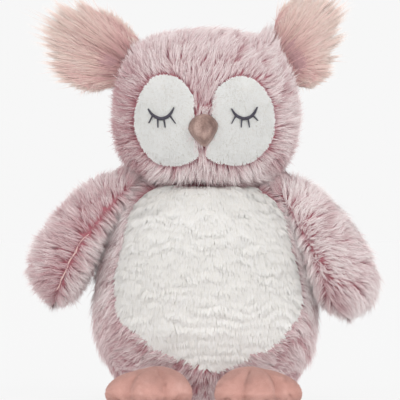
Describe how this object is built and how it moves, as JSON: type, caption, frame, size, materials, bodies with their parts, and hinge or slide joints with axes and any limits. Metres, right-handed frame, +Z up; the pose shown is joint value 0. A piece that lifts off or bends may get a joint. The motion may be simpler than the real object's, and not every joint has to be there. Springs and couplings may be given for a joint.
{
  "type": "plush owl",
  "caption": "Sitting plush owl with long frosted fur, a white belly, sleeping eyes, tufted ears, soft wings and velour feet; head, ears, wings and feet bend at their seams.",
  "frame": {"origin": "on the plane that the owl sits on, under the middle of its bounding box", "axes": "+Z up; -Y the way the owl faces; +X to the right in a front view, the owl's own left-hand side"},
  "size_m": [0.2214, 0.1677, 0.2629],
  "materials": {
    "rose_fur": "matte",
    "white_belly": "matte",
    "white_velboa": "matte",
    "charcoal_thread": "satin",
    "beak_satin": "satin",
    "ear_pile": "matte",
    "salmon_velour": "matte",
    "stuffing_fibre": "matte",
    "rose_thread": "matte",
    "bag_cloth": "matte"
  },
  "bodies": {
    "torso": {"body_left_panel": "rose_fur", "body_right_panel": "rose_fur", "belly_panel": "white_belly", "base_panel": "rose_fur", "body_stuffing": "stuffing_fibre", "pellet_bag": "bag_cloth", "closing_thread": "rose_thread"},
    "neck": {"neck_stuffing": "stuffing_fibre"},
    "neck_seam": {"neck_seam_thread": "rose_thread"},
    "head": {"head_front_panel": "rose_fur", "head_back_panel": "rose_fur", "head_stuffing": "stuffing_fibre", "eye_disc_left": "white_velboa", "eye_disc_right": "white_velboa", "eye_embroidery_left": "charcoal_thread", "eye_embroidery_right": "charcoal_thread", "beak_cover": "beak_satin", "beak_stuffing": "stuffing_fibre"},
    "ear_left": {"ear_left_front": "ear_pile", "ear_left_back": "ear_pile"},
    "ear_right": {"ear_right_front": "ear_pile", "ear_right_back": "ear_pile"},
    "wing_left": {"wing_left_outer": "rose_fur", "wing_left_inner": "rose_fur", "wing_left_stuffing": "stuffing_fibre"},
    "wing_right": {"wing_right_outer": "rose_fur", "wing_right_inner": "rose_fur", "wing_right_stuffing": "stuffing_fibre"},
    "foot_left": {"foot_left_upper": "salmon_velour", "foot_left_sole": "salmon_velour", "foot_left_stuffing": "stuffing_fibre"},
    "foot_right": {"foot_right_upper": "salmon_velour", "foot_right_sole": "salmon_velour", "foot_right_stuffing": "stuffing_fibre"}
  },
  "joints": [
    {"name": "head_turn", "type": "hinge", "parent": "torso", "child": "neck", "pos_m": [0.00121, 0.02127, 0.144], "axis": [0, 0, 1], "range_deg": [-25, 25], "stiffness_Nm_per_rad": 0.12},
    {"name": "head_nod", "type": "hinge", "parent": "neck", "child": "neck_seam", "pos_m": [0.00121, 0.02127, 0.144], "axis": [1, 0, 0], "range_deg": [-8, 8], "stiffness_Nm_per_rad": 0.5},
    {"name": "head_tilt", "type": "hinge", "parent": "neck_seam", "child": "head", "pos_m": [0.00121, 0.02127, 0.144], "axis": [0, 1, 0], "range_deg": [-7, 7], "stiffness_Nm_per_rad": 0.5},
    {"name": "ear_left_flop", "type": "hinge", "parent": "head", "child": "ear_left", "pos_m": [-0.05139, 0.02127, 0.21915], "axis": [0.4904, 0, 0.8715], "range_deg": [-25, 25], "stiffness_Nm_per_rad": 0.02},
    {"name": "ear_right_flop", "type": "hinge", "parent": "head", "child": "ear_right", "pos_m": [0.05296, 0.02127, 0.2194], "axis": [-0.4971, 0, 0.8677], "range_deg": [-25, 25], "stiffness_Nm_per_rad": 0.02},
    {"name": "wing_left_lift", "type": "hinge", "parent": "torso", "child": "wing_left", "pos_m": [-0.04979, 0.01727, 0.1375], "axis": [0, 1, 0], "range_deg": [-3, 40], "stiffness_Nm_per_rad": 0.05},
    {"name": "wing_right_lift", "type": "hinge", "parent": "torso", "child": "wing_right", "pos_m": [0.05221, 0.01627, 0.1365], "axis": [0, -1, 0], "range_deg": [-3, 40], "stiffness_Nm_per_rad": 0.05},
    {"name": "foot_left_bend", "type": "hinge", "parent": "torso", "child": "foot_left", "pos_m": [-0.03219, -0.03223, 0.014], "axis": [-1, 0, 0], "range_deg": [-8, 25], "stiffness_Nm_per_rad": 0.05},
    {"name": "foot_right_bend", "type": "hinge", "parent": "torso", "child": "foot_right", "pos_m": [0.03121, -0.03223, 0.014], "axis": [-1, 0, 0], "range_deg": [-8, 25], "stiffness_Nm_per_rad": 0.05}
  ]
}
